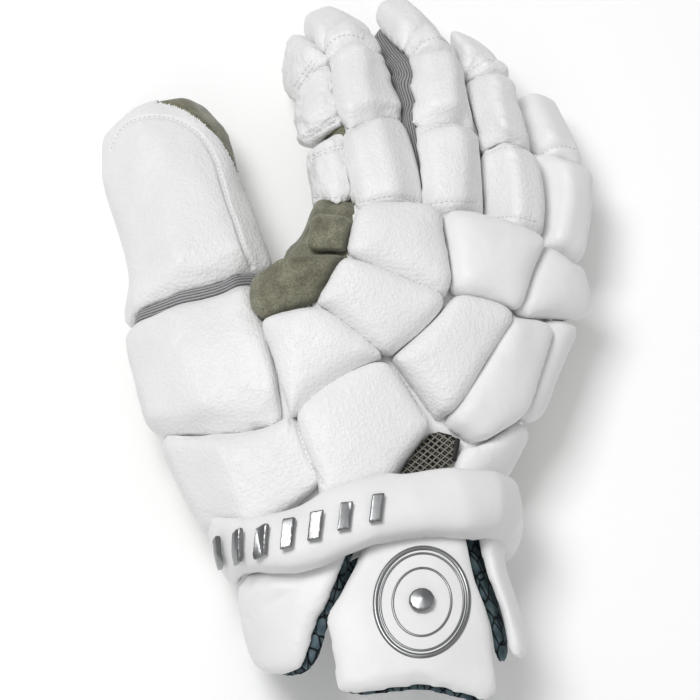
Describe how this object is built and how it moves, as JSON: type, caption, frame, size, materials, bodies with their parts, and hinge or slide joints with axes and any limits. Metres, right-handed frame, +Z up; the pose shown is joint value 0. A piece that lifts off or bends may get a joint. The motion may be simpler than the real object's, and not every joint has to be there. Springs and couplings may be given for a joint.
{
  "type": "lacrosse glove",
  "caption": "Right-hand lacrosse glove, palm down: hollow hand with padded leather back, fingers and thumb, wrist band and lined cuff flaps.",
  "frame": {"origin": "Centre of the bounding box, on the surface that the glove lies on, palm down.", "axes": "+Y runs from the wrist to the fingertips, +X to the little finger's side, +Z up through the back of the hand."},
  "size_m": [0.2078, 0.3272, 0.0793],
  "materials": {
    "white_leather": "satin",
    "palm_suede": "matte",
    "finger_knit": "matte",
    "thumb_elastic": "satin",
    "vent_mesh": "matte",
    "printed_lining": "matte",
    "silver_trim": "polished"
  },
  "bodies": {
    "root": {"back_base": "white_leather", "back_index_pad": "white_leather", "back_middle_pad": "white_leather", "back_pinky_pad": "white_leather", "back_thumb_pad": "white_leather", "band_bar_1": "silver_trim", "band_bar_2": "silver_trim", "band_bar_3": "silver_trim", "band_bar_4": "silver_trim", "band_bar_5": "silver_trim", "band_bar_6": "silver_trim", "band_bar_7": "silver_trim", "emblem_ring_inner": "silver_trim", "emblem_ring_outer": "silver_trim", "emblem_stud": "silver_trim", "flap_finger_side": "white_leather", "flap_finger_side_lining": "printed_lining", "flap_middle": "white_leather", "flap_middle_lining": "printed_lining", "flap_thumb_side": "white_leather", "flap_thumb_side_lining": "printed_lining", "heel_pad": "white_leather", "index_base_pad": "white_leather", "index_joint_pad": "white_leather", "index_middle_pad": "white_leather", "index_side_base": "white_leather", "index_side_middle": "white_leather", "index_side_tip": "white_leather", "index_suede": "palm_suede", "index_tip_pad": "white_leather", "knuckle_index_pad": "white_leather", "knuckle_middle_pad": "white_leather", "knuckle_pinky_pad": "white_leather", "middle_base_pad": "white_leather", "middle_gusset": "finger_knit", "middle_joint_pad": "white_leather", "middle_middle_pad": "white_leather", "middle_suede": "palm_suede", "middle_tip_pad": "white_leather", "palm_suede": "palm_suede", "pinky_base_pad": "white_leather", "pinky_gusset": "finger_knit", "pinky_tip_pad": "white_leather", "ring_base_pad": "white_leather", "ring_gusset": "finger_knit", "ring_joint_pad": "white_leather", "ring_middle_pad": "white_leather", "ring_suede": "palm_suede", "ring_tip_pad": "white_leather", "side_strip": "white_leather", "thumb_base_pad": "white_leather", "thumb_elastic": "thumb_elastic", "thumb_middle_pad": "white_leather", "thumb_suede": "palm_suede", "thumb_tip_pad": "white_leather", "web_pad": "palm_suede", "web_upper_pad": "palm_suede", "wrist_band": "white_leather", "wrist_side_panel": "white_leather", "wrist_vent": "vent_mesh"}
  },
  "joints": []
}
